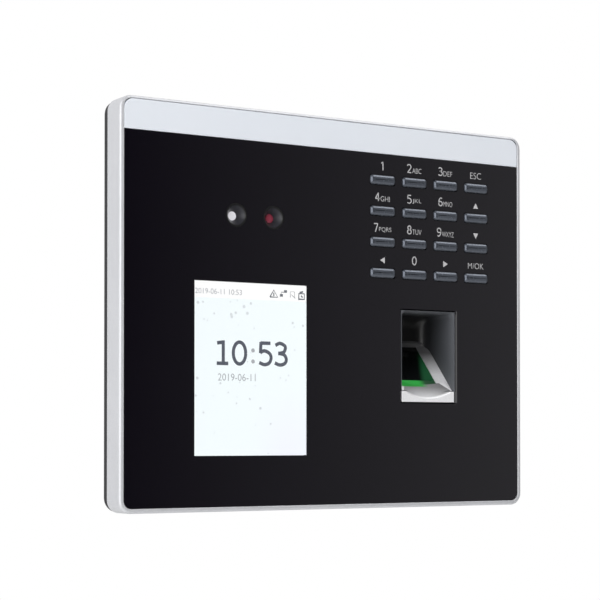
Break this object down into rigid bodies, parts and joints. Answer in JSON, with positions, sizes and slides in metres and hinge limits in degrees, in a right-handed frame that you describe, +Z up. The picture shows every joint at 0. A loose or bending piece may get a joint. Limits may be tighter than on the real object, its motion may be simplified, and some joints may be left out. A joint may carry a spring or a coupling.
{
  "type": "fingerprint scanner terminal",
  "caption": "Flat wall-mounted access terminal: silver frame, black front with display, keypad, two lens wells and a sloped finger recess, on a hook-on steel wall bracket.",
  "frame": {"origin": "centre of the four wall-screw holes, on the wall plane", "axes": "+X to the right as seen from the front, +Y into the wall (the front faces -Y), +Z up"},
  "size_m": [0.1632, 0.0327, 0.135],
  "materials": {
    "silver_paint": "satin silver paint over moulded ABS",
    "band_silver": "smooth light silver moulded strip",
    "black_gloss": "glossy black acrylic",
    "clear_window": "clear scratch-resistant window",
    "lcd_glass": "lit colour display",
    "tin_plate": "tin-plated sheet",
    "zinc_steel": "zinc-plated sheet steel",
    "black_abs": "fine spark-textured black ABS",
    "black_inner": "matt black moulding",
    "lens_glass": "dark red coated lens",
    "diffuser": "milky white light pipe",
    "led_yellow": "phosphor LED package",
    "key_grey": "satin slate-grey key cap",
    "silicone": "silicone rubber",
    "circuit_board": "green solder mask on glass-epoxy",
    "flat_cable": "white flat cable",
    "flex_copper": "amber polyimide film",
    "dark_well": "satin dark grey ABS",
    "rest_silver": "satin silver paint over moulded ABS",
    "prism_glass": "optical glass prism, dark-backed",
    "green_light": "lit green light bar",
    "steel_screw": "nickel-plated steel",
    "black_screw": "black-oxide steel",
    "foam_tape": "black foam tape",
    "chip_epoxy": "moulded epoxy packages",
    "green_terminal": "green nylon",
    "cell_steel": "nickel-plated coin cell in its holder",
    "relay_blue": "blue thermoplastic case",
    "plunger_white": "white acetal"
  },
  "bodies": {
    "wall_bracket": {"wall_bracket": "zinc_steel"},
    "terminal": {"lock_screw": "black_screw", "rear_cover": "black_abs", "front_frame": "silver_paint", "top_band": "band_silver", "front_panel": "black_gloss", "panel_tape": "foam_tape", "display_window": "clear_window", "display_panel": "lcd_glass", "display_tray": "tin_plate", "display_flex": "flex_copper", "lens_bezel": "black_inner", "camera_lens": "lens_glass", "fill_light": "diffuser", "camera_barrel": "black_inner", "camera_board": "circuit_board", "fill_light_led": "led_yellow", "camera_ribbon": "flat_cable", "keypad_mat": "silicone", "keypad_board": "circuit_board", "keypad_screws": "steel_screw", "keypad_ribbon": "flat_cable", "finger_well": "dark_well", "finger_rest": "rest_silver", "sensor_prism": "prism_glass", "sensor_light_bar": "green_light", "sensor_housing": "black_inner", "sensor_imager": "black_inner", "sensor_board": "circuit_board", "sensor_ribbon": "flat_cable", "main_board": "circuit_board", "board_chips": "chip_epoxy", "board_screws": "steel_screw", "network_jack": "tin_plate", "terminal_block": "green_terminal", "usb_socket": "tin_plate", "buzzer": "black_inner", "clock_cell": "cell_steel", "door_relay": "relay_blue", "speaker": "black_inner", "tamper_switch": "black_inner", "case_screws": "black_screw"},
    "key_1": {"key_1": "key_grey"},
    "key_2": {"key_2": "key_grey"},
    "key_3": {"key_3": "key_grey"},
    "key_esc": {"key_esc": "key_grey"},
    "key_4": {"key_4": "key_grey"},
    "key_5": {"key_5": "key_grey"},
    "key_6": {"key_6": "key_grey"},
    "key_up": {"key_up": "key_grey"},
    "key_7": {"key_7": "key_grey"},
    "key_8": {"key_8": "key_grey"},
    "key_9": {"key_9": "key_grey"},
    "key_down": {"key_down": "key_grey"},
    "key_left": {"key_left": "key_grey"},
    "key_0": {"key_0": "key_grey"},
    "key_right": {"key_right": "key_grey"},
    "key_ok": {"key_ok": "key_grey"},
    "tamper_plunger": {"tamper_plunger": "plunger_white"}
  },
  "joints": [
    {"name": "lift_off", "type": "slide", "parent": "wall_bracket", "child": "terminal", "axis": [0, 0, 1], "range_m": [0, 0.0065]},
    {"name": "key_1_press", "type": "slide", "parent": "terminal", "child": "key_1", "axis": [0, 1, 0], "range_m": [0, 0.0008], "stiffness_N_per_m": 400},
    {"name": "key_2_press", "type": "slide", "parent": "terminal", "child": "key_2", "axis": [0, 1, 0], "range_m": [0, 0.0008], "stiffness_N_per_m": 400},
    {"name": "key_3_press", "type": "slide", "parent": "terminal", "child": "key_3", "axis": [0, 1, 0], "range_m": [0, 0.0008], "stiffness_N_per_m": 400},
    {"name": "key_esc_press", "type": "slide", "parent": "terminal", "child": "key_esc", "axis": [0, 1, 0], "range_m": [0, 0.0008], "stiffness_N_per_m": 400},
    {"name": "key_4_press", "type": "slide", "parent": "terminal", "child": "key_4", "axis": [0, 1, 0], "range_m": [0, 0.0008], "stiffness_N_per_m": 400},
    {"name": "key_5_press", "type": "slide", "parent": "terminal", "child": "key_5", "axis": [0, 1, 0], "range_m": [0, 0.0008], "stiffness_N_per_m": 400},
    {"name": "key_6_press", "type": "slide", "parent": "terminal", "child": "key_6", "axis": [0, 1, 0], "range_m": [0, 0.0008], "stiffness_N_per_m": 400},
    {"name": "key_up_press", "type": "slide", "parent": "terminal", "child": "key_up", "axis": [0, 1, 0], "range_m": [0, 0.0008], "stiffness_N_per_m": 400},
    {"name": "key_7_press", "type": "slide", "parent": "terminal", "child": "key_7", "axis": [0, 1, 0], "range_m": [0, 0.0008], "stiffness_N_per_m": 400},
    {"name": "key_8_press", "type": "slide", "parent": "terminal", "child": "key_8", "axis": [0, 1, 0], "range_m": [0, 0.0008], "stiffness_N_per_m": 400},
    {"name": "key_9_press", "type": "slide", "parent": "terminal", "child": "key_9", "axis": [0, 1, 0], "range_m": [0, 0.0008], "stiffness_N_per_m": 400},
    {"name": "key_down_press", "type": "slide", "parent": "terminal", "child": "key_down", "axis": [0, 1, 0], "range_m": [0, 0.0008], "stiffness_N_per_m": 400},
    {"name": "key_left_press", "type": "slide", "parent": "terminal", "child": "key_left", "axis": [0, 1, 0], "range_m": [0, 0.0008], "stiffness_N_per_m": 400},
    {"name": "key_0_press", "type": "slide", "parent": "terminal", "child": "key_0", "axis": [0, 1, 0], "range_m": [0, 0.0008], "stiffness_N_per_m": 400},
    {"name": "key_right_press", "type": "slide", "parent": "terminal", "child": "key_right", "axis": [0, 1, 0], "range_m": [0, 0.0008], "stiffness_N_per_m": 400},
    {"name": "key_ok_press", "type": "slide", "parent": "terminal", "child": "key_ok", "axis": [0, 1, 0], "range_m": [0, 0.0008], "stiffness_N_per_m": 400},
    {"name": "tamper_push", "type": "slide", "parent": "terminal", "child": "tamper_plunger", "axis": [0, -1, 0], "range_m": [0, 0.001], "stiffness_N_per_m": 400}
  ]
}
